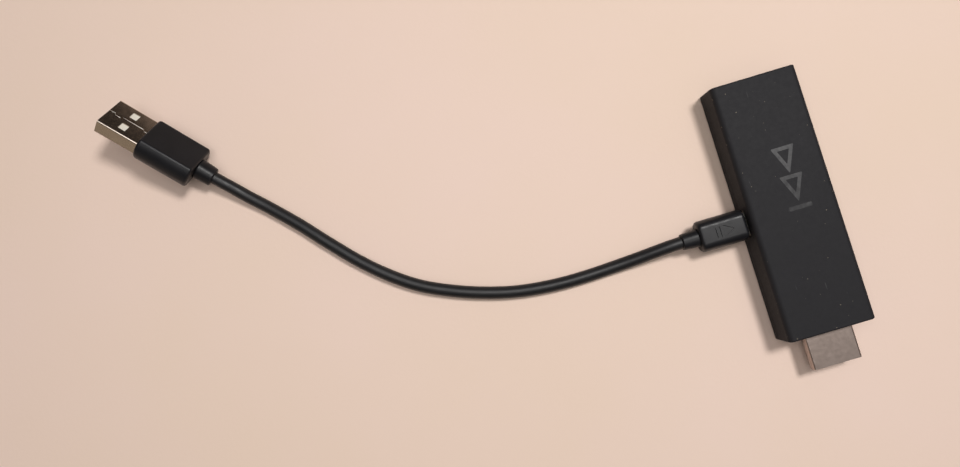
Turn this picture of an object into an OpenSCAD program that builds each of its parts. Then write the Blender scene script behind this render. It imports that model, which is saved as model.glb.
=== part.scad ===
// Streaming media stick with an HDMI plug on one end and a short USB power lead in its side.
// X runs across the stick, Y along it away from the HDMI plug, and Z up.
// The origin is on the surface that the stick lies on, under the middle of its overall length.

/* [Stick] */
// Overall length of the stick with its HDMI plug
total_len = 84.9; // [84:0.1:86]
// Length of the plastic casing
body_len = 75; // [74.5:0.1:75.5]
// Width of the casing
body_w = 25; // [24.6:0.1:26]
// Height of the casing
body_h = 11.5; // [11.4:0.1:12]
// Thickness of the casing walls
wall = 1.2; // [1.1:0.05:1.25]
// Radius along the two upper long edges
top_fillet = 1.6; // [1.3:0.1:2]
// Radius along the two lower long edges
base_fillet = 1; // [0.6:0.1:1.2]
// Height of the seam between the two covers
seam_z = 3.2; // [3:0.1:3.3]

/* [HDMI plug] */
// Width of the metal shell
hdmi_w = 13.9; // [13.8:0.05:14]
// Height of the metal shell
hdmi_h = 4.45; // [4.4:0.05:4.55]

/* [Micro-USB plug and socket] */
// Distance along the stick of the socket's centre
port_y = 2.7; // [2:0.1:3.4]
// Length of the plug's grip, without its strain relief
micro_grip_len = 13.9; // [13:0.1:15]
// Width of the plug's grip
micro_grip_w = 9.2; // [9:0.1:10]
// Width of the flat on the grip's top
micro_grip_flat = 6.3; // [5.8:0.1:6.8]
// Thickness of the plug's grip
micro_grip_h = 6.8; // [6.6:0.1:7.4]

/* [USB-A plug] */
// Length of the metal shell in front of the grip
usb_shell_out = 11.9; // [11.7:0.1:12.2]
// Length of the plug's grip, without its strain relief
usb_grip_len = 16.5; // [15.5:0.1:17.5]
// Width of the plug's grip
usb_grip_w = 14.2; // [13.8:0.1:14.2]
// Width of the flat on the grip's top
usb_grip_flat = 11.1; // [10.8:0.1:11.4]
// Thickness of the plug's grip
usb_grip_h = 7.5; // [7.2:0.1:7.5]

/* [Cord] */
// Diameter of the round cord
cord_d = 3.7; // [3.4:0.1:3.7]

/* [Hidden] */
$fn = 48;
corner_steps = 8;
side_steps = 12;
over = 1;

// Casing
y_tip = -total_len / 2;
y_blind = total_len / 2;
y_front = y_blind - body_len;
plan_corner = 0.6;
inner_corner = 0.5;
port_z = 5.7;
seam_gap = 0.12;
lip_h = 1.2;
lip_inset = 0.65;
rebate_inset = 0.6;
clip_depth = 0.2;
clip_len = 6;
clip_h = 0.5;
clip_play = 0.05;
clip_ys = [-22, 18, 34];
port_hole = [8.2, 3];
hdmi_hole_play = 0.15;

// Board and what stands on it
board_t = 0.8;
board_half_w = 10.9;
board_ys = [-26.4, 40.6];
board_low = port_z - board_t / 2;
board_high = port_z + board_t / 2;
notch_half = 3.95;
notch_x = -5.4;
post_r = 1;
post_places = [[-9.6, -22], [9.6, -22], [-9.6, -5], [9.6, -5], [-9.6, 38.6], [9.6, 38.6]];
pin_places = [[9.6, -22], [-9.6, 38.6]];
pin_r = 0.6;
pin_hole_r = 0.7;
pin_top = board_high + 0.4;
rib_r = 0.7;
rib_gap = 0.05;
rib_places = [[-10, -14], [10, -14], [10, 6], [-10, 8.6]];
shield_xs = [-9.4, 9.4];
upper_shield_ys = [11, 36];
lower_shield_ys = [12, 36];
shield_t = 0.2;
upper_shield_h = 2.1;
lower_shield_h = 1.7;
lid_skirt = 1;
lid_gap = 0.05;
spreader_t = 0.6;
spreader_top = body_h - wall - 0.05;
spreader_xs = [-8.8, 8.8];
spreader_ys = [-8, 36];
pad_side = 16;
pad_y = 23.5;
pad_margin = 1;
upper_lid_top = board_high + upper_shield_h + lid_gap + shield_t;
lower_lid_top = lower_shield_h + lid_gap + shield_t - board_low;

// Parts on the board, each with its size and the place of its middle
processor_size = [12, 12, 1];
processor_place = [-1.5, 18];
memory_size = [10, 10.5, 0.9];
memory_place = [-1.5, 30];
flash_size = [11.5, 13, 1];
flash_place = [0, 28];
wifi_size = [6.5, 6.5, 0.9];
wifi_place = [-3, 16.5];
power_size = [5, 5, 0.9];
power_place = [1.5, -12];
crystal_size = [3.2, 2.5, 0.8];
crystal_place = [7, 14];
inductor_size = [2.5, 2, 1.2];
inductor_places = [[-5, -8], [-5, -13], [6.5, -9], [6.5, -14]];
capacitor_size = [1, 0.5, 0.5];
capacitor_xs = [-3, -1, 1, 3, 5];
capacitor_ys = [-19, -17.5, -6, -4.5];

// Antennas
antenna_size = [6.6, 2.4, 2];
antenna_xs = [-4.6, 4.6];
antenna_y = 38.6;
antenna_t = 0.2;
antenna_foot = 0.8;

// HDMI plug
hdmi_wall = 0.3;
hdmi_side_h = 2.75;
hdmi_base_w = 10.5;
hdmi_corner = 0.6;
hdmi_rear = -28;
hdmi_core_front = y_tip + 0.75;
hdmi_core_rear = -26.6;
hdmi_flange_front = -31;
hdmi_flange = [15.2, 5.6];
hdmi_cavity = [11.4, 1.8];
hdmi_cavity_end = -33.5;
hdmi_pitch = 1;
hdmi_contact_w = 0.45;
hdmi_contact_t = 0.25;
hdmi_contact_ys = [y_tip + 1, -24.8];
hdmi_leg_end = -24.6;

// Micro-USB plug and socket, measured from the socket's centre line
micro_w = 6.85;
micro_h = 1.8;
micro_side_h = 1.2;
micro_base_w = 5.4;
micro_corner = 0.25;
micro_wall = 0.2;
micro_play = 0.06;
socket_wall = 0.3;
socket_xs = [-12.25, -5.6];
socket_back = -7.1;
tongue_tip = -10.8;
tongue_half = 1.7;
tongue_zs = [-0.05, 0.45];
socket_contact_zs = [-0.15, -0.05];
micro_pitch = 0.65;
micro_contact_w = 0.3;
grip_front = -13;
micro_tip = -7.6;
micro_root = -17;
micro_block_front = -12.2;
micro_floor_half = 1.75;
micro_floor_top = -0.32;
micro_contact_top = -0.2;
micro_contact_tip = -8;
micro_tail = -18.2;
arm_ys = [1.9, 2.4];
arm_zs = [-0.42, -0.24];
arm_xs = [-12.1, -8.1];
web_front = -11.5;
bar_zs = [-0.05, 0.15];
hook_rear = -8.7;
hook_play = 0.1;
hook_hole_play = 0.15;
socket_leg = [1.5, 1.2, 0.25];
socket_leg_x = -10;
least_corner = 0.1;

// Grips, inner moulds and conductors of the lead
grip_end_round = 0.8;
micro_grip_rear = grip_front - micro_grip_len;
micro_stub_len = 4.8;
micro_stub_w = 4.7;
stub_corner = 2.1;
micro_mould_xs = [-24, -17];
micro_mould = [6.4, 4];
wire_r = 0.4;
wire_spread = [0.75, 0.55];
micro_exit = [micro_grip_rear - micro_stub_len, port_y, port_z];
mark_depth = 0.15;
mark_bar = [0.55, 3];
mark_gap = 1.2;
mark_arrow = [3, 3.4];
mark_x = -19.9;

// USB-A plug, in its own frame: its X runs from the cord towards the tip
usb_stub_len = 5.1;
usb_stub_w = 5.4;
usb_w = 12;
usb_h = 4.5;
usb_corner = 0.5;
usb_wall = 0.3;
usb_grip_front = usb_stub_len + usb_grip_len;
usb_tip = usb_grip_front + usb_shell_out;
usb_shell_rear = 15;
usb_window = [2.1, 2.5];
usb_window_back = 6.1;
usb_window_y = 2.9;
usb_core_recess = 0.4;
usb_core_half_w = 5.5;
usb_block_front = 22.5;
usb_contact_t = 0.25;
usb_contact_w = 1;
usb_contact_places = [[-3.5, 1.2], [-1, 2.2], [1, 2.2], [3.5, 1.2]];
usb_tail = 13;
usb_mould_xs = [8, 15];
usb_mould = [9, 4.2];
slit = [0, 0.1];
seam_path = [[usb_tip + over, -0.2], [usb_tip - 1.7, -0.2], [usb_tip - 2.1, 0.4],
    [usb_tip - 3.6, 0.4], [usb_tip - 4.2, -0.2], [usb_grip_front + 1.6, -0.2],
    [usb_grip_front + 1, 0.4], [usb_grip_front, 0.4]];

// Where the USB-A plug lies: rolled on to one edge, with its tip a little up
usb_exit = [-158.05, 60.5, 5.16];
usb_turn = [50.1, -14.8, 131.9];
usb_forward = [cos(usb_turn.y) * cos(usb_turn.z), cos(usb_turn.y) * sin(usb_turn.z),
    -sin(usb_turn.y)];

// Route of the cord's centre line from the micro-USB plug to the USB-A plug
cord_sides = 8;
cord_route = [micro_exit, [-35.5, 2.55, 5.4], [-39.5, 2.25, 4.5], [-44, 1.85, 3.3],
    [-49, 1.5, 2.35], [-54.5, 1.2, 1.92], [-60.5, 1, 1.86], [-67.5, 1.05, 1.86],
    [-75.5, 1.65, 1.86], [-83.5, 2.95, 1.86], [-92, 5.3, 1.86], [-100.2, 8.35, 1.86],
    [-108.5, 12.35, 1.86], [-116.2, 17.7, 1.86], [-123.7, 24.35, 1.86], [-130.9, 32, 1.86],
    [-138.1, 40.1, 1.86], [-145.3, 47.5, 2.05], [-150.3, 52.4, 2.8], [-153.7, 56, 3.75],
    [-156, 58.35, 4.5], usb_exit];

// Colours
casing_black = [0.1, 0.1, 0.11];
pvc_black = [0.06, 0.06, 0.07];
nickel = [0.72, 0.7, 0.66];
gold = [0.85, 0.68, 0.3];
chip_black = [0.13, 0.13, 0.14];
board_green = [0.05, 0.3, 0.15];
pad_grey = [0.55, 0.6, 0.68];
moulding_white = [0.92, 0.92, 0.9];

function unit(v) = v / norm(v);

// Points round one corner of an anticlockwise outline, where corner is [x, y, radius]
function corner_points(before, corner, after) =
    let (p = [corner.x, corner.y])
    let (u = unit([before.x, before.y] - p))
    let (v = unit([after.x, after.y] - p))
    let (half = acos(u * v) / 2)
    let (centre = p + unit(u + v) * corner.z / sin(half))
    let (start = p + u * corner.z / tan(half) - centre)
    let (first = atan2(start.y, start.x))
    [for (i = [0:corner_steps]) let (a = first + (180 - 2 * half) * i / corner_steps)
        centre + corner.z * [cos(a), sin(a)]];

function rounded(outline) = let (n = len(outline))
    [for (i = [0:n - 1]) each corner_points(outline[(i + n - 1) % n], outline[i], outline[(i + 1) % n])];

// A box between two opposite corners
module span(low, high) {
    translate(low) cube(high - low);
}

// A box on both sides of the XZ plane, at the distances in ys
module span_pair(xs, ys, zs) {
    for (side = [-1, 1]) {
        mirror([0, side < 0 ? 1 : 0, 0]) span([xs[0], ys[0], zs[0]], [xs[1], ys[1], zs[1]]);
    }
}

module rounded_rect(w, h, r) {
    polygon(rounded([[-w / 2, -h / 2, r], [w / 2, -h / 2, r], [w / 2, h / 2, r], [-w / 2, h / 2, r]]));
}

// A section drawn across and up, carried along Y from y0 to y1
module along_y(y0, y1) {
    translate([0, y1, 0]) rotate([90, 0, 0]) linear_extrude(y1 - y0) children();
}

// A section drawn across and up, carried along X from x0 to x1
module along_x(x0, x1) {
    translate([x0, 0, 0]) rotate([90, 0, 90]) linear_extrude(x1 - x0) children();
}

// D-shaped section of an HDMI or micro-USB shell: upright sides, then sides that lean in
module d_section(w, h, side_h, base_w, r, grow) {
    half = w / 2 + grow;
    base = base_w / 2 + grow / 2;
    bend = h / 2 - side_h;
    polygon(rounded([[-base, -h / 2 - grow, r], [base, -h / 2 - grow, r], [half, bend, r],
        [half, h / 2 + grow, r], [-half, h / 2 + grow, r], [-half, bend, r]]));
}

module hdmi_section(grow) {
    translate([0, port_z]) d_section(hdmi_w, hdmi_h, hdmi_side_h, hdmi_base_w, hdmi_corner + grow, grow);
}

module micro_section(grow) {
    d_section(micro_w, micro_h, micro_side_h, micro_base_w, max(micro_corner + grow, least_corner), grow);
}

// The casing's outer form, shrunk by inset on every side
module casing(inset) {
    half = body_w / 2 - inset;
    base_r = max(base_fillet - inset, inner_corner);
    top_r = max(top_fillet - inset, inner_corner);
    intersection() {
        along_y(y_front + inset, y_blind - inset) polygon(rounded([[-half, inset, base_r],
            [half, inset, base_r], [half, body_h - inset, top_r], [-half, body_h - inset, top_r]]));
        translate([0, (y_front + y_blind) / 2, 0]) linear_extrude(body_h)
            rounded_rect(2 * half, body_len - 2 * inset, max(plan_corner - inset, inner_corner));
    }
}

// Everything between two heights, to cut the casing with
module slab(z0, z1) {
    span([-body_w, y_tip - over, z0], [body_w, y_blind + over, z1]);
}

// The openings in the casing for the HDMI plug and the micro-USB socket
module casing_openings() {
    along_y(y_front - over, y_front + 2 * wall) hdmi_section(hdmi_hole_play);
    span([-body_w / 2 - over, port_y - port_hole[0] / 2, port_z - port_hole[1] / 2],
        [2 * wall - body_w / 2, port_y + port_hole[0] / 2, port_z + port_hole[1] / 2]);
}

// Snap clips on the bottom cover's lip; play makes their recesses in the top cover
module clips(play) {
    reach = body_w / 2 - lip_inset + clip_depth + play;
    for (y = clip_ys) {
        span([-reach, y - clip_len / 2 - play, seam_z + lip_h - clip_h - play],
            [reach, y + clip_len / 2 + play, seam_z + lip_h + play]);
    }
}

module top_cover() {
    color(casing_black) {
        difference() {
            intersection() {
                casing(0);
                slab(seam_z + seam_gap, body_h + over);
            }
            casing(wall);
            intersection() {
                casing(rebate_inset);
                slab(seam_z - over, seam_z + lip_h + clip_play);
            }
            clips(clip_play);
            casing_openings();
        }
        for (place = rib_places) {
            translate([place.x, place.y, board_high + rib_gap])
                cylinder(r = rib_r, h = body_h - wall - board_high - rib_gap);
        }
    }
}

module bottom_cover() {
    color(casing_black) {
        difference() {
            union() {
                intersection() {
                    casing(0);
                    slab(-over, seam_z);
                }
                intersection() {
                    casing(lip_inset);
                    slab(seam_z - over, seam_z + lip_h);
                }
                intersection() {
                    clips(0);
                    casing(lip_inset - clip_depth);
                }
            }
            casing(wall);
            casing_openings();
        }
        for (place = post_places) {
            translate([place.x, place.y, wall]) cylinder(r = post_r, h = board_low - wall);
        }
        for (place = pin_places) {
            translate([place.x, place.y, wall]) cylinder(r = pin_r, h = pin_top - wall);
        }
    }
}

module main_board() {
    color(board_green) difference() {
        span([-board_half_w, board_ys[0], board_low], [board_half_w, board_ys[1], board_high]);
        span([-board_half_w - over, port_y - notch_half, board_low - over],
            [notch_x, port_y + notch_half, board_high + over]);
        for (place = pin_places) {
            translate([place.x, place.y, 0]) cylinder(r = pin_hole_r, h = body_h);
        }
    }
}

// A part standing on the board's upper side, or hanging on its lower side
module on_board(place, size, upper = true) {
    low = upper ? board_high : board_low - size.z;
    translate([place.x - size.x / 2, place.y - size.y / 2, low]) cube(size);
}

module processor() {
    color(chip_black) on_board(processor_place, processor_size);
}

module memory_chip() {
    color(chip_black) on_board(memory_place, memory_size);
}

module flash_chip() {
    color(chip_black) on_board(flash_place, flash_size, upper = false);
}

module wifi_chip() {
    color(chip_black) on_board(wifi_place, wifi_size, upper = false);
}

module power_chip() {
    color(chip_black) on_board(power_place, power_size);
}

module crystal() {
    color(nickel) on_board(crystal_place, crystal_size);
}

module inductors() {
    color(chip_black) for (place = inductor_places) {
        on_board(place, inductor_size);
    }
}

module capacitors() {
    color("tan") for (x = capacitor_xs, y = capacitor_ys) {
        on_board([x, y], capacitor_size);
    }
}

// A fence standing on the board between z0 and z1
module shield_frame(ys, z0, z1) {
    difference() {
        span([shield_xs[0], ys[0], z0], [shield_xs[1], ys[1], z1]);
        span([shield_xs[0] + shield_t, ys[0] + shield_t, z0 - over],
            [shield_xs[1] - shield_t, ys[1] - shield_t, z1 + over]);
    }
}

// A lid whose skirt goes round the fence; it opens downwards, with its top at z_top
module shield_lid(ys, z_top) {
    grow = lid_gap + shield_t;
    difference() {
        span([shield_xs[0] - grow, ys[0] - grow, z_top - shield_t - lid_skirt],
            [shield_xs[1] + grow, ys[1] + grow, z_top]);
        span([shield_xs[0] - lid_gap, ys[0] - lid_gap, z_top - shield_t - lid_skirt - over],
            [shield_xs[1] + lid_gap, ys[1] + lid_gap, z_top - shield_t]);
    }
}

module upper_shield_frame() {
    color(nickel) shield_frame(upper_shield_ys, board_high, board_high + upper_shield_h);
}

module upper_shield_lid() {
    color(nickel) shield_lid(upper_shield_ys, upper_lid_top);
}

module lower_shield_frame() {
    color(nickel) shield_frame(lower_shield_ys, board_low - lower_shield_h, board_low);
}

module lower_shield_lid() {
    color(nickel) mirror([0, 0, 1]) shield_lid(lower_shield_ys, lower_lid_top);
}

module upper_thermal_pad() {
    color(pad_grey) span([-pad_side / 2, pad_y - pad_side / 2, upper_lid_top],
        [pad_side / 2, pad_y + pad_side / 2, spreader_top - spreader_t]);
}

module chip_thermal_pad() {
    color(pad_grey) translate([0, 0, processor_size.z])
        on_board(processor_place, [processor_size.x - 2 * pad_margin,
            processor_size.y - 2 * pad_margin, upper_lid_top - shield_t - board_high - processor_size.z]);
}

module heat_spreader() {
    color("silver") span([spreader_xs[0], spreader_ys[0], spreader_top - spreader_t],
        [spreader_xs[1], spreader_ys[1], spreader_top]);
}

// Each antenna is a flat strip on two legs, with small feet on the board
module antennas() {
    color(gold) for (x = antenna_xs) {
        translate([x - antenna_size.x / 2, antenna_y - antenna_size.y / 2, board_high]) {
            span([0, 0, antenna_size.z - antenna_t], antenna_size);
            for (leg_x = [0, antenna_size.x - antenna_t]) {
                span([leg_x, 0, 0], [leg_x + antenna_t, antenna_foot, antenna_size.z]);
            }
            span([0, 0, 0], [antenna_foot, antenna_foot, antenna_t]);
            span([antenna_size.x - antenna_foot, 0, 0], [antenna_size.x, antenna_foot, antenna_t]);
        }
    }
}

// The plug's metal shell, with two legs that stand on the board
module hdmi_metal() {
    difference() {
        along_y(y_tip, hdmi_rear) hdmi_section(0);
        along_y(y_tip - over, hdmi_rear + over) hdmi_section(-hdmi_wall);
    }
    for (side = [-1, 1]) {
        mirror([side < 0 ? 1 : 0, 0, 0])
            span([hdmi_w / 2 - hdmi_wall, hdmi_rear - hdmi_wall, board_high],
                [hdmi_w / 2, hdmi_leg_end, port_z + hdmi_h / 2 - 2 * hdmi_corner]);
    }
}

module hdmi_shell() {
    color(nickel) hdmi_metal();
}

// Both contact rows: ten above the board's edge and nine below it
module hdmi_contact_rows() {
    for (row = [[10, board_high], [9, board_low - hdmi_contact_t]]) {
        for (i = [0:row[0] - 1]) {
            x = (i - (row[0] - 1) / 2) * hdmi_pitch;
            span([x - hdmi_contact_w / 2, hdmi_contact_ys[0], row[1]],
                [x + hdmi_contact_w / 2, hdmi_contact_ys[1], row[1] + hdmi_contact_t]);
        }
    }
}

module hdmi_insulator() {
    color(chip_black) difference() {
        union() {
            along_y(hdmi_core_front, hdmi_core_rear) hdmi_section(-hdmi_wall);
            along_y(hdmi_flange_front, hdmi_core_rear) translate([0, port_z])
                square(hdmi_flange, center = true);
        }
        hdmi_metal();
        span([-hdmi_cavity[0] / 2, y_tip - over, port_z - hdmi_cavity[1] / 2],
            [hdmi_cavity[0] / 2, hdmi_cavity_end, port_z + hdmi_cavity[1] / 2]);
        hdmi_contact_rows();
    }
}

module hdmi_contacts() {
    color(gold) hdmi_contact_rows();
}

// Everything in the socket and the plug is drawn about the socket's centre line
module at_port() {
    translate([0, port_y, port_z]) children();
}

module micro_socket_shell() {
    color(nickel) at_port() {
        difference() {
            along_x(socket_xs[0], socket_xs[1]) micro_section(micro_play + socket_wall);
            along_x(socket_xs[0] - over, socket_xs[1] + over) micro_section(micro_play);
            span_pair([hook_rear - hook_hole_play, arm_xs[1] + hook_hole_play],
                [arm_ys[0] - hook_hole_play, arm_ys[1] + hook_hole_play], [-2 * micro_h, -micro_h / 2]);
        }
        span_pair([socket_leg_x, socket_leg_x + socket_leg.x],
            [micro_w / 2 + micro_play + socket_wall - shield_t, notch_half + socket_leg.y],
            [board_t / 2, board_t / 2 + socket_leg.z]);
    }
}

// Five contact strips side by side
module micro_contact_row(xs, zs) {
    for (i = [-2:2]) {
        span([xs[0], i * micro_pitch - micro_contact_w / 2, zs[0]],
            [xs[1], i * micro_pitch + micro_contact_w / 2, zs[1]]);
    }
}

module micro_socket_tongue() {
    color(chip_black) at_port() difference() {
        union() {
            along_x(socket_back, socket_xs[1]) micro_section(micro_play);
            span([tongue_tip, -tongue_half, tongue_zs[0]], [socket_back, tongue_half, tongue_zs[1]]);
        }
        micro_contact_row([tongue_tip, socket_xs[1]], socket_contact_zs);
    }
}

module micro_socket_contacts() {
    color(gold) at_port() micro_contact_row([tongue_tip, socket_xs[1]], socket_contact_zs);
}

module micro_plug_shell() {
    color(nickel) at_port() difference() {
        along_x(micro_root, micro_tip) micro_section(0);
        along_x(micro_root - over, micro_tip + over) micro_section(-micro_wall);
        span_pair([hook_rear - hook_play, arm_xs[1] + hook_play],
            [arm_ys[0] - hook_play, arm_ys[1] + hook_play], [-micro_h, micro_wall - micro_h / 2 + hook_play]);
    }
}

module micro_plug_contact_row() {
    micro_contact_row([micro_tail, micro_contact_tip], [micro_floor_top, micro_contact_top]);
}

module micro_plug_insulator() {
    color(chip_black) at_port() difference() {
        union() {
            along_x(micro_root, micro_block_front) micro_section(-micro_wall);
            span([micro_block_front, -micro_floor_half, micro_wall - micro_h / 2],
                [micro_tip, micro_floor_half, micro_floor_top]);
        }
        micro_plug_contact_row();
    }
}

module micro_plug_contacts() {
    color(gold) at_port() micro_plug_contact_row();
}

// Two spring arms joined by a bar; each arm ends in a hook that goes out through the shell
module latch_spring() {
    color("silver") at_port() {
        span_pair(arm_xs, arm_ys, arm_zs);
        span_pair([hook_rear, arm_xs[1]], arm_ys, [-micro_h / 2, arm_zs[1]]);
        span_pair([arm_xs[0], web_front], arm_ys, [arm_zs[0], bar_zs[1]]);
        span([arm_xs[0], -arm_ys[1], bar_zs[0]], [web_front, arm_ys[1], bar_zs[1]]);
    }
}

// The four conductors, running along X from x0 to x1
module conductors(x0, x1) {
    for (sy = [-1, 1], sz = [-1, 1]) {
        translate([x0, sy * wire_spread[0], sz * wire_spread[1]]) rotate([0, 90, 0])
            cylinder(r = wire_r, h = x1 - x0);
    }
}

// Half of a grip's section: flat above and below, with its side bowed out to w / 2
function bowed_side(w, h, flat) =
    let (reach = (w - flat) / 2)
    let (r = (reach * reach + h * h / 4) / (2 * reach))
    let (half = asin(h / 2 / r))
    [for (i = [0:side_steps]) let (a = half * (2 * i / side_steps - 1))
        [w / 2 - r + r * cos(a), r * sin(a)]];

// A grip with bowed sides and rounded ends, from x0 to x1
module grip(x0, x1, w, h, flat) {
    middle = (x0 + x1) / 2;
    side = bowed_side(w, h, flat);
    intersection() {
        along_x(x0, x1) polygon(concat(side, -side));
        translate([middle, 0, -h]) linear_extrude(2 * h) rounded_rect(x1 - x0, w, grip_end_round);
        translate([middle, w, 0]) rotate([90, 0, 0]) linear_extrude(2 * w)
            rounded_rect(x1 - x0, h, grip_end_round);
    }
}

module micro_mould_block() {
    along_x(micro_mould_xs[0], micro_mould_xs[1]) square(micro_mould, center = true);
}

module micro_inner_mould() {
    color(moulding_white) at_port() difference() {
        micro_mould_block();
        conductors(micro_mould_xs[0] - over, micro_tail);
        micro_plug_contact_row();
    }
}

module micro_wires() {
    color("firebrick") at_port() conductors(micro_grip_rear - micro_stub_len, micro_tail);
}

// An arrow towards the plug with two bars behind it, sunk into the grip
module grip_mark() {
    for (i = [1, 2]) {
        translate([-i * mark_gap, 0]) square(mark_bar, center = true);
    }
    polygon([[0, -mark_arrow.y / 2], [mark_arrow.x, 0], [0, mark_arrow.y / 2]]);
}

module micro_plug_overmold() {
    color(pvc_black) at_port() difference() {
        union() {
            grip(micro_grip_rear, grip_front, micro_grip_w, micro_grip_h, micro_grip_flat);
            along_x(micro_grip_rear - micro_stub_len, micro_grip_rear + over)
                rounded_rect(micro_stub_w, micro_stub_w, stub_corner);
        }
        along_x(micro_root, grip_front + over) micro_section(0);
        micro_mould_block();
        conductors(micro_grip_rear - micro_stub_len - over, micro_mould_xs[0] + over);
        translate([mark_x, 0, micro_grip_h / 2 - mark_depth]) linear_extrude(over) grip_mark();
    }
}

// Direction of the cord at each point of its route
function heading(i) = i == 0 ? [-1, 0, 0]
    : i == len(cord_route) - 1 ? usb_forward
    : unit(cord_route[i + 1] - cord_route[i - 1]);

// One ring of points square to the route
function cord_ring(i) = let (along = heading(i))
    let (side = unit(cross(along, [0, 0, 1])))
    let (up = cross(side, along))
    [for (k = [0:cord_sides - 1]) let (a = 360 * k / cord_sides)
        cord_route[i] + cord_d / 2 * (side * cos(a) + up * sin(a))];

module power_cord() {
    rings = len(cord_route);
    skin = [for (i = [0:rings - 2], k = [0:cord_sides - 1]) let (next = (k + 1) % cord_sides)
        [i * cord_sides + k, i * cord_sides + next, (i + 1) * cord_sides + next,
            (i + 1) * cord_sides + k]];
    near_end = [for (k = [cord_sides - 1:-1:0]) k];
    far_end = [for (k = [0:cord_sides - 1]) (rings - 1) * cord_sides + k];
    color(pvc_black) polyhedron([for (i = [0:rings - 1]) each cord_ring(i)],
        concat([near_end, far_end], skin), convexity = 4);
}

// Everything in the USB-A plug is drawn in its own frame and then laid in place
module at_usb() {
    translate(usb_exit) rotate(usb_turn) children();
}

module usb_section(grow) {
    rounded_rect(usb_w + 2 * grow, usb_h + 2 * grow, max(usb_corner + grow, least_corner));
}

module usb_mould_block() {
    along_x(usb_mould_xs[0], usb_mould_xs[1]) square(usb_mould, center = true);
}

module usb_a_overmold() {
    color(pvc_black) at_usb() difference() {
        union() {
            grip(usb_stub_len, usb_grip_front, usb_grip_w, usb_grip_h, usb_grip_flat);
            along_x(0, usb_stub_len + over) rounded_rect(usb_stub_w, usb_stub_w, stub_corner);
        }
        along_x(usb_shell_rear, usb_grip_front + over) usb_section(0);
        usb_mould_block();
        conductors(-over, usb_mould_xs[0] + over);
    }
}

// The four contact strips, each ending its own distance behind the tip
module usb_contact_row() {
    for (place = usb_contact_places) {
        span([usb_tail, place[0] - usb_contact_w / 2, -usb_contact_t],
            [usb_tip - place[1], place[0] + usb_contact_w / 2, 0]);
    }
}

module usb_a_inner_mould() {
    color(moulding_white) at_usb() difference() {
        usb_mould_block();
        conductors(usb_mould_xs[0] - over, usb_tail);
        usb_contact_row();
    }
}

module usb_a_wires() {
    color("firebrick") at_usb() conductors(0, usb_tail);
}

// Outline of the thin stepped seam in the shell's upper face
function seam_outline() = concat([for (p = seam_path) p + slit],
    [for (i = [len(seam_path) - 1:-1:0]) seam_path[i] - slit]);

module usb_a_shell() {
    window_x = usb_tip - usb_window_back;
    color(nickel) at_usb() difference() {
        along_x(usb_shell_rear, usb_tip) usb_section(0);
        along_x(usb_shell_rear - over, usb_tip + over) usb_section(-usb_wall);
        for (side = [-1, 1]) {
            translate([window_x, side * usb_window_y, -usb_h]) linear_extrude(2 * usb_h)
                square(usb_window, center = true);
        }
        translate([0, 0, usb_h / 2 - usb_wall - usb_contact_t]) linear_extrude(over) polygon(seam_outline());
    }
}

module usb_a_insulator() {
    inner_half_h = usb_h / 2 - usb_wall;
    color(moulding_white) at_usb() difference() {
        union() {
            span([usb_shell_rear, -usb_core_half_w, -inner_half_h],
                [usb_block_front, usb_core_half_w, inner_half_h]);
            span([usb_shell_rear, -usb_core_half_w, 0],
                [usb_tip - usb_core_recess, usb_core_half_w, inner_half_h]);
        }
        usb_contact_row();
    }
}

module usb_a_contacts() {
    color(gold) at_usb() usb_contact_row();
}

top_cover();
bottom_cover();
main_board();
processor();
memory_chip();
flash_chip();
wifi_chip();
power_chip();
crystal();
inductors();
capacitors();
upper_shield_frame();
upper_shield_lid();
lower_shield_frame();
lower_shield_lid();
upper_thermal_pad();
chip_thermal_pad();
heat_spreader();
antennas();
hdmi_shell();
hdmi_insulator();
hdmi_contacts();
micro_socket_shell();
micro_socket_tongue();
micro_socket_contacts();
micro_plug_shell();
micro_plug_insulator();
micro_plug_contacts();
latch_spring();
micro_inner_mould();
micro_wires();
micro_plug_overmold();
power_cord();
usb_a_overmold();
usb_a_inner_mould();
usb_a_wires();
usb_a_shell();
usb_a_insulator();
usb_a_contacts();
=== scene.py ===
"""Streaming media stick with its power lead, lying on a pale table."""

import math

import bmesh  # noqa: E402
import bpy  # noqa: E402
from mathutils import Euler, Matrix, Vector  # noqa: E402


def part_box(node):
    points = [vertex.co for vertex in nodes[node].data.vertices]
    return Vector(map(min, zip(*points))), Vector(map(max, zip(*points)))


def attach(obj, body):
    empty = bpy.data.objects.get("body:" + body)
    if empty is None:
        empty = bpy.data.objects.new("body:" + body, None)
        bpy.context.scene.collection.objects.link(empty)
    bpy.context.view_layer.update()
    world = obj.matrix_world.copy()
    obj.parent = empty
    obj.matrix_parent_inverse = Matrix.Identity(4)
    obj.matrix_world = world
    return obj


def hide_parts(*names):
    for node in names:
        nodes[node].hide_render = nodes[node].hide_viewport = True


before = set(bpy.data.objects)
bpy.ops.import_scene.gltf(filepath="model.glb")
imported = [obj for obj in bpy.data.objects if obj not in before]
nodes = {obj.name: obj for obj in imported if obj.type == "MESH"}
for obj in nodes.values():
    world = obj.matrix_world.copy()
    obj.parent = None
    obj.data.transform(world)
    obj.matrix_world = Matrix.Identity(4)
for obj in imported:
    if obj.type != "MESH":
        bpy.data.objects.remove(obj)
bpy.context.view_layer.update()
scene = bpy.context.scene
MM = 0.001

# ---------------------------------------------------------------- camera

CAMERA_PLACE = Vector((-83.51, 11.94, 213.86)) * MM
CAMERA_RIGHT = Vector((0.9583, -0.2843, -0.0293))
CAMERA_UP = Vector((0.2853, 0.9575, 0.0413))
CAMERA_BACK = Vector((0.0163, -0.0479, 0.9987))
SENSOR_W, LENS = 36, 26.74


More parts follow.
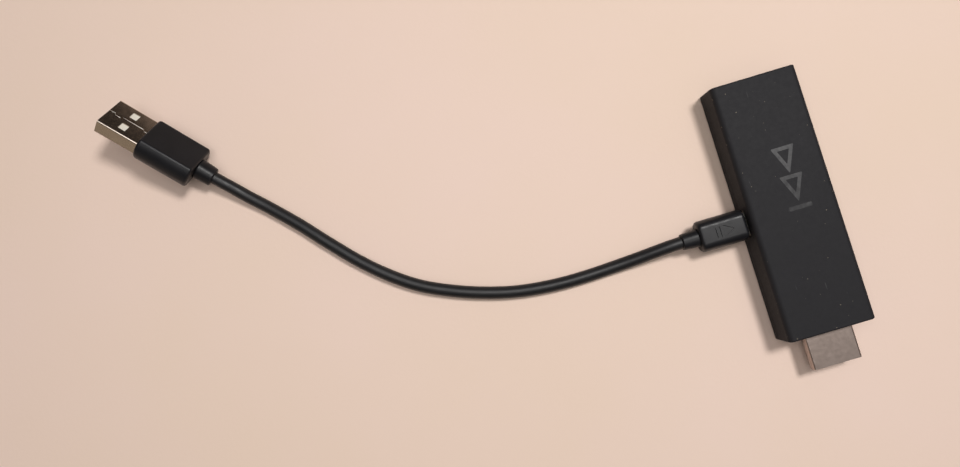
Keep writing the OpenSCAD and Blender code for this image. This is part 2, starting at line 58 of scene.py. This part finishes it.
def add_camera():
    data = bpy.data.cameras.new("camera")
    data.sensor_width = SENSOR_W
    data.lens = LENS
    data.clip_start = 0.01
    data.clip_end = 10
    camera = bpy.data.objects.new("camera", data)
    turn = Matrix((CAMERA_RIGHT, CAMERA_UP, CAMERA_BACK)).transposed().to_4x4()
    camera.matrix_world = Matrix.Translation(CAMERA_PLACE) @ turn
    scene.collection.objects.link(camera)
    scene.camera = camera


add_camera()

# ---------------------------------------------------------------- mesh helpers

SMOOTH_ANGLE = math.radians(32)


def new_piece(name, data, body):
    piece = bpy.data.objects.new(name, data)
    scene.collection.objects.link(piece)
    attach(piece, body)
    return piece


def section(half_w, low, high, low_r, high_r, steps=10):
    """A rounded rectangle as (across, up) points, with its own radius below and above."""
    points = []
    corners = [
        (half_w - low_r, low + low_r, low_r, -90),
        (half_w - high_r, high - high_r, high_r, 0),
        (high_r - half_w, high - high_r, high_r, 90),
        (low_r - half_w, low + low_r, low_r, 180),
    ]
    for across, up, r, first in corners:
        for i in range(steps + 1):
            a = math.radians(first + 90 * i / steps)
            points.append((across + r * math.cos(a), up + r * math.sin(a)))
    return points


LEAST_R = 0.12


def box_section(w, h, r, inset=0.0):
    r = max(r - inset, LEAST_R)
    return section(w / 2 - inset, inset - h / 2, h / 2 - inset, r, r)


def bend(start, corner, end, t):
    """A point on the curve that rounds off a corner."""
    return tuple(
        p * (1 - t) ** 2 + q * 2 * t * (1 - t) + r * t * t for p, q, r in zip(start, corner, end)
    )


def bowed_section(w, h, flat, soft, inset=0.0):
    """Flat above and below, with its sides bowed out and the creases softened."""
    reach = (w - flat) / 2
    r = (reach * reach + h * h / 4) / (2 * reach)
    stop = math.asin(h / 2 / r) - soft / r
    arc = []
    for i in range(11):
        a = stop * (i / 5 - 1)
        arc.append((w / 2 - r + r * math.cos(a), r * math.sin(a)))
    top = [bend(arc[-1], (flat / 2, h / 2), (flat / 2 - soft, h / 2), k / 6) for k in range(1, 7)]
    side = [(x, -y) for x, y in reversed(top)] + arc + top
    outline = side + [(-x, -y) for x, y in side]
    return [(x * (1 - 2 * inset / w), y * (1 - 2 * inset / h)) for x, y in outline]


def soften_corners(outline, radius, steps=4):
    """The outline with its corners rounded off."""
    points = []
    count = len(outline)
    for i, corner in enumerate(outline):
        here = Vector(corner)
        before = here + (Vector(outline[i - 1]) - here).normalized() * radius
        after = here + (Vector(outline[(i + 1) % count]) - here).normalized() * radius
        points += [bend(before, here, after, k / steps) for k in range(steps + 1)]
    return points


def loft(bm, stations, axis="x"):
    """A closed skin over (distance, section) stations, in millimetres."""
    rings = []
    for along, outline in stations:
        ring = []
        for across, up in outline:
            place = (along, across, up) if axis == "x" else (-across, along, up)
            ring.append(bm.verts.new(Vector(place) * MM))
        rings.append(ring)
    count = len(rings[0])
    for a, b in zip(rings, rings[1:]):
        for k in range(count):
            n = (k + 1) % count
            bm.faces.new((a[k], a[n], b[n], b[k]))
    bm.faces.new(list(reversed(rings[0])))
    bm.faces.new(rings[-1])
    bmesh.ops.recalc_face_normals(bm, faces=bm.faces)


def quarter(radius, steps=6):
    """(distance from the end, inset) pairs of a rounded end, from the end inwards."""
    for i in range(steps + 1):
        a = math.radians(90 - 90 * i / steps)
        yield radius * (1 - math.sin(a)), radius * (1 - math.cos(a))


def mesh_from(name, bm):
    mesh = bpy.data.meshes.new(name)
    bm.to_mesh(mesh)
    bm.free()
    mesh.shade_smooth()
    mesh.set_sharp_from_angle(angle=SMOOTH_ANGLE)
    return mesh


def box_mesh(name, low, high):
    bm = bmesh.new()
    bmesh.ops.create_cube(bm, size=1)
    low, high = Vector(low) * MM, Vector(high) * MM
    for v in bm.verts:
        v.co = Vector([low[i] + (v.co[i] + 0.5) * (high[i] - low[i]) for i in range(3)])
    return mesh_from(name, bm)


def carve(mesh, cutter, operation="DIFFERENCE"):
    """The mesh after one exact boolean with another mesh."""
    body = bpy.data.objects.new("carve_body", mesh)
    tool = bpy.data.objects.new("carve_tool", cutter)
    for o in (body, tool):
        scene.collection.objects.link(o)
    step = body.modifiers.new("carve", "BOOLEAN")
    step.solver = "EXACT"
    step.operation = operation
    step.object = tool
    bpy.context.view_layer.update()
    graph = bpy.context.evaluated_depsgraph_get()
    result = bpy.data.meshes.new_from_object(body.evaluated_get(graph))
    for o in (body, tool):
        bpy.data.objects.remove(o)
    return result


def finish_shading(piece):
    """Smooth shading again after a carve, with even normals."""
    piece.data.shade_smooth()
    piece.data.set_sharp_from_angle(angle=SMOOTH_ANGLE)
    even = piece.modifiers.new("even_normals", "WEIGHTED_NORMAL")
    even.keep_sharp = True


# ---------------------------------------------------------------- cord

CORD_D = 3.7
CLEARANCE = 0.01
ROUTE = [
    (-31.7, 2.7, 5.7), (-35.5, 2.55, 5.4), (-39.5, 2.25, 4.5), (-44, 1.85, 3.3),
    (-49, 1.5, 2.35), (-54.5, 1.2, 1.92), (-60.5, 1, 1.86), (-67.5, 1.05, 1.86),
    (-75.5, 1.65, 1.86), (-83.5, 2.95, 1.86), (-92, 5.3, 1.86), (-100.2, 8.35, 1.86),
    (-108.5, 12.35, 1.86), (-116.2, 17.7, 1.86), (-123.7, 24.35, 1.86), (-130.9, 32, 1.86),
    (-138.1, 40.1, 1.86), (-145.3, 47.5, 2.05), (-150.3, 52.4, 2.8), (-153.7, 56, 3.75),
    (-156, 58.35, 4.5), (-158.05, 60.5, 5.16),
]  # fmt: skip


def smooth_route(points, parts=8):
    """More points on one smooth curve through the route's points."""
    points = [Vector(p) for p in points]
    ends = [2 * points[0] - points[1]] + points + [2 * points[-1] - points[-2]]
    out = []
    for a, b, c, d in zip(ends, ends[1:], ends[2:], ends[3:]):
        for i in range(parts):
            t = i / parts
            square = (2 * a - 5 * b + 4 * c - d) * t * t
            cube = (3 * b - a - 3 * c + d) * t * t * t
            out.append(0.5 * (2 * b + (c - a) * t + square + cube))
    out.append(points[-1])
    for p in out:
        p.z = max(p.z, CORD_D / 2 + CLEARANCE)
    return [p * MM for p in out]


def tube(line, radius, sides=28):
    """A closed round tube along a line of points."""
    bm = bmesh.new()
    rings = []
    for i, place in enumerate(line):
        along = (line[min(i + 1, len(line) - 1)] - line[max(i - 1, 0)]).normalized()
        side = along.cross(Vector((0, 0, 1))).normalized()
        up = side.cross(along)
        ring = []
        for k in range(sides):
            a = 2 * math.pi * k / sides
            ring.append(bm.verts.new(place + radius * (side * math.cos(a) + up * math.sin(a))))
        rings.append(ring)
    for a, b in zip(rings, rings[1:]):
        for k in range(sides):
            n = (k + 1) % sides
            bm.faces.new((a[k], a[n], b[n], b[k]))
    bm.faces.new(list(reversed(rings[0])))
    bm.faces.new(rings[-1])
    bmesh.ops.recalc_face_normals(bm, faces=bm.faces)
    return bm


def make_cord():
    line = smooth_route(ROUTE)
    mesh = mesh_from("cord_jacket", tube(line, CORD_D / 2 * MM))
    piece = new_piece("power_cord_jacket", mesh, "lead")
    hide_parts("power_cord")
    length = sum((b - a).length for a, b in zip(line, line[1:]))
    return piece, line, length


cord, cord_line, cord_length = make_cord()

# ---------------------------------------------------------------- plug frames

PORT_Y, PORT_Z = 2.7, 5.7
PORT = Matrix.Translation(Vector((0, PORT_Y, PORT_Z)) * MM)
USB_TURN = Euler([math.radians(a) for a in (50.1, -14.8, 131.9)], "XYZ")
USB = Matrix.Translation(Vector(ROUTE[-1]) * MM) @ USB_TURN.to_matrix().to_4x4()


STUB_END_R, STUB_LIP, STUB_ROUND, STUB_SUNK = 0.35, 0.3, 0.44, 1


def stub_stations(rear, front, w):
    """The strain relief, from the cord to a small flare inside the grip's rear face."""
    r = STUB_ROUND * w
    stations = []
    for along, inset in quarter(STUB_END_R):
        stations.append((rear + along, box_section(w, w, r, inset)))
    for along, inset in reversed(list(quarter(STUB_LIP))):
        stations.append((front - along, box_section(w, w, r, inset - STUB_LIP)))
    stations.append((front + STUB_SUNK, box_section(w, w, r, -STUB_LIP)))
    return stations


def grip_stations(rear, front, end_r, *size):
    stations = [(rear + along, bowed_section(*size, inset)) for along, inset in quarter(end_r)]
    for along, inset in reversed(list(quarter(end_r))):
        stations.append((front - along, bowed_section(*size, inset)))
    return stations


def grip_mesh(name, stub_rear, rear, front, stub_w, end_r, w, h, flat, soft):
    """A grip from its rear to its front with its strain relief behind it, as one skin."""
    stub, block = bmesh.new(), bmesh.new()
    loft(stub, stub_stations(stub_rear, rear, stub_w))
    loft(block, grip_stations(rear, front, end_r, w, h, flat, soft))
    return carve(mesh_from(name, block), mesh_from("stub", stub), "UNION")


MARK_X, MARK_FLOOR, MARK_LIP = 19.9, 3.12, 4.2


def grip_mark_mesh():
    """An arrow with two bars behind it, to sink into the grip's flat top."""
    bm = bmesh.new()
    shapes = [
        [(0, -1.7), (3, 0), (0, 1.7)],
        [(-1.475, -1.5), (-0.925, -1.5), (-0.925, 1.5), (-1.475, 1.5)],
        [(-2.675, -1.5), (-2.125, -1.5), (-2.125, 1.5), (-2.675, 1.5)],
    ]
    for shape in shapes:
        low = [bm.verts.new(Vector((x - MARK_X, y, MARK_FLOOR)) * MM) for x, y in shape]
        high = [bm.verts.new(Vector((x - MARK_X, y, MARK_LIP)) * MM) for x, y in shape]
        bm.faces.new(list(reversed(low)))
        bm.faces.new(high)
        for k in range(len(shape)):
            n = (k + 1) % len(shape)
            bm.faces.new((low[k], low[n], high[n], high[k]))
    return mesh_from("grip_mark", bm)


def make_micro_grip():
    mesh = grip_mesh(
        "micro_grip", stub_rear=-31.7, rear=-26.9, front=-13, stub_w=4.7,
        end_r=1.1, w=9.2, h=6.8, flat=6.3, soft=1.0,
    )  # fmt: skip
    mesh = carve(mesh, grip_mark_mesh())
    mesh.transform(PORT)
    piece = new_piece("micro_plug_grip", mesh, "lead")
    finish_shading(piece)
    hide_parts("micro_plug_overmold")
    return piece


def make_usb_grip():
    mesh = grip_mesh(
        "usb_grip", stub_rear=0, rear=5.1, front=21.6, stub_w=5.4,
        end_r=0.8, w=14.2, h=7.5, flat=11.1, soft=0.5,
    )  # fmt: skip
    mesh.transform(USB)
    piece = new_piece("usb_a_plug_grip", mesh, "lead")
    finish_shading(piece)
    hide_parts("usb_a_overmold")
    return piece


micro_grip = make_micro_grip()
usb_grip = make_usb_grip()

# ---------------------------------------------------------------- casing

HALF_W, Y_FRONT, Y_BLIND, CASING_TOP = 12.5, -32.55, 42.45, 11.48
LOW_FILLET, HIGH_FILLET, LEAST_FILLET = 1.0, 1.6, 0.15
END_R, WALL, WALL_END_R = 0.45, 1.2, 0.2
SEAM_LOW, SEAM_HIGH = 3.2, 3.32
PORT_W, PORT_H, PORT_DEPTH = 8.2, 3, 2.4
PLUG_PLAY = 0.15


def casing_mesh(name, inset, end_r):
    def outline(extra):
        return section(
            HALF_W - inset - extra,
            inset + extra,
            CASING_TOP - inset - extra,
            max(LOW_FILLET - inset - extra, LEAST_FILLET),
            max(HIGH_FILLET - inset - extra, LEAST_FILLET),
        )

    bm = bmesh.new()
    y0, y1 = Y_FRONT + inset, Y_BLIND - inset
    stations = [(y0 + along, outline(extra)) for along, extra in quarter(end_r)]
    stations += [(y1 - along, outline(extra)) for along, extra in reversed(list(quarter(end_r)))]
    loft(bm, stations, axis="y")
    return mesh_from(name, bm)


def make_casing():
    outer = casing_mesh("casing_outer", 0, END_R)
    inner = casing_mesh("casing_inner", WALL, WALL_END_R)
    port = box_mesh(
        "port_hole",
        (-20, PORT_Y - PORT_W / 2, PORT_Z - PORT_H / 2),
        (PORT_DEPTH - HALF_W, PORT_Y + PORT_W / 2, PORT_Z + PORT_H / 2),
    )
    plug = nodes["hdmi_shell"]
    low, high = (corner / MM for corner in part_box(plug.name))
    plug_hole = box_mesh(
        "plug_hole",
        (low.x - PLUG_PLAY, -40, low.z - PLUG_PLAY),
        (high.x + PLUG_PLAY, -30.1, high.z + PLUG_PLAY),
    )
    shell = carve(carve(carve(outer, inner), port), plug_hole)
    top = carve(shell.copy(), box_mesh("below", (-20, -60, -5), (20, 60, SEAM_HIGH)))
    bottom = carve(shell, box_mesh("above", (-20, -60, SEAM_LOW), (20, 60, 20)))
    pieces = []
    for name, mesh, node in (
        ("top_cover_shell", top, "top_cover"),
        ("bottom_cover_shell", bottom, "bottom_cover"),
    ):
        piece = new_piece(name, mesh, "stick")
        finish_shading(piece)
        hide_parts(node)
        pieces.append(piece)
    return pieces


top_cover, bottom_cover = make_casing()

# ---------------------------------------------------------------- small details

SEAM_RUNS = [((33.35, -0.2), (31.8, -0.2)), ((31.4, 0.4), (29.9, 0.4)),
             ((29.3, -0.2), (23.2, -0.2)), ((22.6, 0.4), (21.7, 0.4))]  # fmt: skip
SEAM_Z, SEAM_R = 2.24, 0.09


def make_seam():
    """The lips of the seam in the USB-A shell's upper face, in nickel much lighter than the shell's:
    a painted highlight.
    """
    bm = bmesh.new()
    thin = 0.6 * SEAM_R
    angles = [math.tau * k / 12 for k in range(12)]
    for (x0, y), (x1, _) in SEAM_RUNS:
        stations = []
        for x, r in ((x0, thin), (x0 - 0.1, SEAM_R), (x1 + 0.1, SEAM_R), (x1, thin)):
            lip = [(y + r * math.cos(a), SEAM_Z + 0.6 * r * math.sin(a)) for a in angles]
            stations.append((x, lip))
        loft(bm, stations)
    mesh = mesh_from("seam_lips", bm)
    mesh.transform(USB)
    return new_piece("usb_a_seam_lips", mesh, "lead")


PRINT_LOW, PRINT_HIGH = CASING_TOP - 0.01, CASING_TOP + 0.012
PRINT_SHAPES = [
    ([(1.75, 13.0), (5.1, 20.9), (-1.6, 20.9)], [(1.75, 15.7), (3.5, 19.8), (0, 19.8)]),
    ([(1.75, 4.7), (5.1, 12.6), (-1.6, 12.6)], [(1.75, 7.4), (3.5, 11.5), (0, 11.5)]),
    ([(5.1, 2.6), (5.1, 3.8), (-1.6, 3.8), (-1.6, 2.6)], None),
]


def make_top_print():
    """A plain skip symbol in outline, printed thinly on the casing's top."""
    bm = bmesh.new()

    def wall_ring(outline):
        ends = [
            [bm.verts.new(Vector((c[0], c[1], z)) * MM) for c in outline]
            for z in (PRINT_LOW, PRINT_HIGH)
        ]
        for k in range(len(outline)):
            n = (k + 1) % len(outline)
            bm.faces.new((ends[0][k], ends[0][n], ends[1][n], ends[1][k]))
        return ends

    for outer, inner in PRINT_SHAPES:
        rims = wall_ring(soften_corners(outer, 0.4))
        if inner is None:
            for rim in rims:
                bm.faces.new(rim)
            continue
        for rim, hole in zip(rims, wall_ring(soften_corners(inner, 0.25))):
            for k in range(len(rim)):
                n = (k + 1) % len(rim)
                bm.faces.new((rim[k], rim[n], hole[n], hole[k]))
    bmesh.ops.recalc_face_normals(bm, faces=bm.faces)
    return new_piece("top_print", mesh_from("top_print", bm), "stick")


seam_lips = make_seam()
top_print = make_top_print()


SHARP_ANGLE, BEVEL_ANGLE, BROKEN_EDGE = math.radians(30), math.radians(35), 0.06


def break_edges(name):
    """Smooth shading and a fine bevel over a CAD node's sharp edges."""
    node = nodes[name]
    node.data.shade_smooth()
    node.data.set_sharp_from_angle(angle=SHARP_ANGLE)
    bevel = node.modifiers.new("broken_edges", "BEVEL")
    bevel.width = BROKEN_EDGE * MM
    bevel.segments = 2
    bevel.limit_method = "ANGLE"
    bevel.angle_limit = BEVEL_ANGLE
    bevel.harden_normals = True


for name in ("hdmi_shell", "usb_a_shell"):
    break_edges(name)

# ---------------------------------------------------------------- materials


class Look:
    """A Principled material with helpers for its procedural nodes."""

    def __init__(self, name, color, roughness, metallic=0.0, specular=0.5):
        self.material = bpy.data.materials.new(name)
        self.material.use_nodes = True
        self.tree = self.material.node_tree
        self.shader = self.tree.nodes["Principled BSDF"]
        self.shader.inputs["Base Color"].default_value = (*color, 1)
        self.shader.inputs["Roughness"].default_value = roughness
        self.shader.inputs["Metallic"].default_value = metallic
        self.shader.inputs["Specular IOR Level"].default_value = specular
        self.place = self.node("ShaderNodeTexCoord").outputs["Object"]

    def node(self, kind, **values):
        made = self.tree.nodes.new(kind)
        for key, value in values.items():
            setattr(made, key, value)
        return made

    def link(self, a, b):
        self.tree.links.new(a, b)

    def noise(self, scale, detail=4.0, roughness=0.55, stretch=(1, 1, 1)):
        place = self.place
        if stretch != (1, 1, 1):
            mapping = self.node("ShaderNodeMapping")
            mapping.inputs["Scale"].default_value = stretch
            self.link(place, mapping.inputs["Vector"])
            place = mapping.outputs["Vector"]
        made = self.node("ShaderNodeTexNoise")
        made.inputs["Scale"].default_value = scale
        made.inputs["Detail"].default_value = detail
        made.inputs["Roughness"].default_value = roughness
        self.link(place, made.inputs["Vector"])
        return made.outputs["Fac"]

    def ramp(self, source, low, high, out_low=0.0, out_high=1.0):
        made = self.node("ShaderNodeMapRange")
        made.inputs["From Min"].default_value = low
        made.inputs["From Max"].default_value = high
        made.inputs["To Min"].default_value = out_low
        made.inputs["To Max"].default_value = out_high
        self.link(source, made.inputs["Value"])
        return made.outputs["Result"]

    def mix(self, amount, a, b):
        made = self.node("ShaderNodeMix", data_type="RGBA")
        self.link(amount, made.inputs["Factor"])
        for socket, value in ((made.inputs["A"], a), (made.inputs["B"], b)):
            if isinstance(value, tuple):
                socket.default_value = (*value, 1)
            else:
                self.link(value, socket)
        return made.outputs["Result"]

    def colour(self, source):
        self.link(source, self.shader.inputs["Base Color"])

    def rough(self, source):
        self.link(source, self.shader.inputs["Roughness"])

    def bump(self, *layers):
        """Each layer is (height socket, distance in metres)."""
        normal = None
        for source, distance in layers:
            made = self.node("ShaderNodeBump")
            made.inputs["Strength"].default_value = 1
            made.inputs["Distance"].default_value = distance
            self.link(source, made.inputs["Height"])
            if normal is not None:
                self.link(normal, made.inputs["Normal"])
            normal = made.outputs["Normal"]
        self.link(normal, self.shader.inputs["Normal"])


def casing_look():
    look = Look("casing_black", (0.0165, 0.016, 0.0185), 0.64, specular=0.18)
    broad = look.noise(45, 3)
    base = look.mix(look.ramp(broad, 0.3, 0.7), (0.016, 0.0155, 0.018), (0.0175, 0.017, 0.0195))
    dust = look.ramp(look.noise(1400, 1, 0.4), 0.775, 0.81)
    dusty = look.mix(dust, base, (0.2, 0.17, 0.13))
    scratch = look.ramp(look.noise(230, 2, 0.5, stretch=(9, 0.6, 1)), 0.755, 0.775, 0, 0.45)
    look.colour(look.mix(scratch, dusty, (0.09, 0.09, 0.09)))
    look.rough(look.ramp(look.noise(900, 2), 0.3, 0.7, 0.6, 0.67))
    look.bump((look.noise(5200, 2), 0.000008), (look.noise(1800, 3), 0.000003))
    return look.material


def print_look():
    """Grey ink, worn away towards the HDMI end."""
    look = Look("grey_ink", (0.07, 0.07, 0.072), 0.5, specular=0.3)
    axes = look.node("ShaderNodeSeparateXYZ")
    look.link(look.place, axes.inputs["Vector"])
    worn = look.ramp(axes.outputs["Y"], 0.003, 0.017, 0.75, 0)
    patchy = look.ramp(look.noise(420, 4, 0.6), 0.4, 0.62, 0, 0.4)
    total = look.node("ShaderNodeMath", operation="ADD", use_clamp=True)
    look.link(worn, total.inputs[0])
    look.link(patchy, total.inputs[1])
    look.colour(look.mix(total.outputs["Value"], (0.062, 0.062, 0.065), (0.018, 0.0175, 0.02)))
    look.rough(look.ramp(look.noise(900, 2), 0.3, 0.7, 0.45, 0.6))
    look.bump((look.noise(3000, 3), 0.00001),)
    return look.material


def vinyl_look(name, color, roughness, grain, specular):
    look = Look(name, color, roughness, specular=specular)
    broad = look.noise(120, 3)
    look.colour(look.mix(look.ramp(broad, 0.3, 0.7), color, tuple(1.3 * c for c in color)))
    look.rough(look.ramp(look.noise(700, 3), 0.3, 0.7, roughness - 0.04, roughness + 0.08))
    look.bump((look.noise(4200, 2), grain), (look.noise(300, 2), 2 * grain))
    return look.material


def nickel_look(name, light, dark, low_rough, high_rough, depth=0.000004):
    look = Look(name, light, low_rough, metallic=1.0)
    look.colour(look.mix(look.ramp(look.noise(160, 4, 0.6), 0.3, 0.72), dark, light))
    look.rough(look.ramp(look.noise(900, 4), 0.3, 0.7, low_rough, high_rough))
    brushed = look.noise(900, 3, 0.6, stretch=(6, 0.35, 1))
    look.bump((brushed, depth), (look.noise(200, 2), 2 * depth))
    return look.material


def plain_look(name, color, roughness, metallic=0.0, grain=0.00001):
    look = Look(name, color, roughness, metallic)
    look.colour(
        look.mix(look.ramp(look.noise(300, 4), 0.3, 0.7), color, tuple(0.86 * c for c in color))
    )
    look.rough(look.ramp(look.noise(800, 3), 0.3, 0.7, roughness - 0.04, roughness + 0.08))
    look.bump((look.noise(2500, 3), grain),)
    return look.material


CASING = casing_look()
PRINT = print_look()
OVERMOLD = vinyl_look("overmold_vinyl", (0.008, 0.008, 0.0095), 0.37, 0.000006, 0.27)
JACKET = vinyl_look("cord_vinyl", (0.009, 0.009, 0.01), 0.4, 0.000004, 0.4)
HDMI_NICKEL = nickel_look("hdmi_nickel", (0.43, 0.35, 0.315), (0.4, 0.325, 0.29), 0.3, 0.36, 0.000001)
USB_NICKEL = nickel_look("usb_nickel", (0.5, 0.43, 0.37), (0.45, 0.385, 0.33), 0.13, 0.18, 0.000001)
# The seam lips' nickel is much lighter than the shell's nickel: a painted highlight along the seam.
SEAM_HIGHLIGHT_NICKEL = nickel_look("nickel_painted_highlight", (0.86, 0.83, 0.78), (0.8, 0.77, 0.72), 0.34, 0.42)
SMALL_NICKEL = nickel_look("small_nickel", (0.6, 0.58, 0.54), (0.5, 0.47, 0.43), 0.28, 0.4)
SHIELD = nickel_look("tinned_sheet", (0.62, 0.61, 0.59), (0.52, 0.51, 0.49), 0.3, 0.45)
SPREADER = nickel_look("rolled_aluminium", (0.75, 0.75, 0.76), (0.66, 0.66, 0.67), 0.3, 0.42)
SPRING = nickel_look("spring_steel", (0.62, 0.62, 0.62), (0.5, 0.5, 0.5), 0.22, 0.34)
BLACK_RESIN = plain_look("black_resin", (0.02, 0.02, 0.021), 0.45)
CHIP = plain_look("chip_resin", (0.028, 0.028, 0.03), 0.6)
WHITE_RESIN = plain_look("white_resin", (0.76, 0.73, 0.65), 0.4)
BOARD = plain_look("solder_mask", (0.01, 0.11, 0.045), 0.35)
CERAMIC = plain_look("fired_ceramic", (0.34, 0.22, 0.11), 0.5)
PAD = plain_look("thermal_pad", (0.25, 0.3, 0.38), 0.75, grain=0.00003)
GILT = plain_look("gilt_brass", (0.82, 0.58, 0.22), 0.28, metallic=1.0)
WIRE = plain_look("wire_insulation", (0.38, 0.02, 0.015), 0.4)

NODE_LOOKS = {
    CASING: ["top_cover", "bottom_cover"],
    BOARD: ["main_board"],
    CHIP: ["processor", "memory_chip", "flash_chip", "wifi_chip", "power_chip", "inductors"],
    CERAMIC: ["capacitors"],
    SHIELD: [
        "crystal",
        "upper_shield_frame",
        "upper_shield_lid",
        "lower_shield_frame",
        "lower_shield_lid",
    ],
    PAD: ["upper_thermal_pad", "chip_thermal_pad"],
    SPREADER: ["heat_spreader"],
    GILT: [
        "antennas",
        "hdmi_contacts",
        "micro_socket_contacts",
        "micro_plug_contacts",
        "usb_a_contacts",
    ],
    HDMI_NICKEL: ["hdmi_shell"],
    SMALL_NICKEL: ["micro_socket_shell", "micro_plug_shell"],
    USB_NICKEL: ["usb_a_shell"],
    BLACK_RESIN: ["hdmi_insulator", "micro_socket_tongue", "micro_plug_insulator"],
    WHITE_RESIN: ["usb_a_insulator", "micro_inner_mould", "usb_a_inner_mould"],
    WIRE: ["micro_wires", "usb_a_wires"],
    OVERMOLD: ["micro_plug_overmold", "usb_a_overmold"],
    JACKET: ["power_cord"],
    SPRING: ["latch_spring"],
}
for look, names in NODE_LOOKS.items():
    for name in names:
        nodes[name].data.materials.clear()
        nodes[name].data.materials.append(look)
for piece, look in (
    (top_cover, CASING),
    (bottom_cover, CASING),
    (micro_grip, OVERMOLD),
    (usb_grip, OVERMOLD),
    (cord, JACKET),
    (seam_lips, SEAM_HIGHLIGHT_NICKEL),
    (top_print, PRINT),
):
    piece.data.materials.clear()
    piece.data.materials.append(look)

# ---------------------------------------------------------------- floor and light


def add_floor():
    mesh = box_mesh("floor", (-5000, -5000, -2), (5000, 5000, 0))
    floor = bpy.data.objects.new("floor", mesh)
    scene.collection.objects.link(floor)
    look = Look("pale_table", (0.78, 0.61, 0.52), 0.8, specular=0.15)
    pale = look.mix(look.ramp(look.noise(9, 3), 0.3, 0.7), (0.77, 0.61, 0.5), (0.79, 0.62, 0.54))
    # Stage only: where glossy surfaces mirror the table it darkens from 60 to 250 mm away
    path = look.node("ShaderNodeLightPath")
    mirrored_far = look.node("ShaderNodeMath", operation="MULTIPLY")
    look.link(path.outputs["Is Glossy Ray"], mirrored_far.inputs[0])
    look.link(look.ramp(path.outputs["Ray Length"], 0.06, 0.25), mirrored_far.inputs[1])
    look.colour(look.mix(mirrored_far.outputs["Value"], pale, (0.05, 0.04, 0.035)))
    look.bump((look.noise(900, 3), 0.00003),)
    mesh.materials.append(look.material)


def hang_lamp(data, place, target):
    lamp = bpy.data.objects.new(data.name, data)
    lamp.location = place
    lamp.rotation_euler = (Vector(target) - Vector(place)).to_track_quat("-Z", "Y").to_euler()
    scene.collection.objects.link(lamp)


def add_area(name, place, target, size, watts, color):
    data = bpy.data.lights.new(name, "AREA")
    data.shape = "RECTANGLE"
    data.size, data.size_y = size
    data.energy = watts
    data.color = color
    hang_lamp(data, place, target)


def add_key(place, target, watts):
    """A soft lamp whose pool of light fades towards the edges of the view."""
    data = bpy.data.lights.new("key", "SPOT")
    data.energy = watts
    data.color = (1, 0.98, 0.96)
    data.shadow_soft_size = 0.075
    data.spot_size = math.radians(110)
    data.spot_blend = 1
    hang_lamp(data, place, target)


def add_world():
    """A pale backdrop and a little fill, with a dim room for the reflections."""
    world = bpy.data.worlds.new("studio")
    world.use_nodes = True
    tree = world.node_tree
    path = tree.nodes.new("ShaderNodeLightPath")
    shader = tree.nodes["Background"]
    shader.inputs["Color"].default_value = (1, 0.93, 0.86, 1)
    shader.inputs["Strength"].default_value = 0.12
    for ray, color, strength in (
        ("Is Glossy Ray", (1, 0.9, 0.8, 1), 0.05),
        ("Is Camera Ray", (0.8, 0.7, 0.62, 1), 0.75),
    ):
        layer = tree.nodes.new("ShaderNodeBackground")
        layer.inputs["Color"].default_value = color
        layer.inputs["Strength"].default_value = strength
        pick = tree.nodes.new("ShaderNodeMixShader")
        tree.links.new(path.outputs[ray], pick.inputs["Fac"])
        tree.links.new(shader.outputs[0], pick.inputs[1])
        tree.links.new(layer.outputs["Background"], pick.inputs[2])
        shader = pick
    tree.links.new(shader.outputs[0], tree.nodes["World Output"].inputs["Surface"])
    scene.world = world


add_floor()
add_world()
add_key((0.206, 0.17, 0.668), (-0.1, 0.005, 0), 14)
add_area("overhead", (-0.13, 0.04, 0.42), (-0.13, 0.03, 0), (0.22, 0.22), 0.46, (1, 0.98, 0.97))
add_area("ceiling", (0.05, -0.05, 1.1), (0.05, -0.05, 0), (1.5, 1.5), 1.9, (1, 0.96, 0.92))
add_area("side_card", (-0.62, -0.16, 0.12), (-0.17, 0.07, 0.01), (0.3, 0.2), 0.07, (1, 0.82, 0.62))
scene.view_settings.view_transform = "Standard"
scene.view_settings.look = "None"
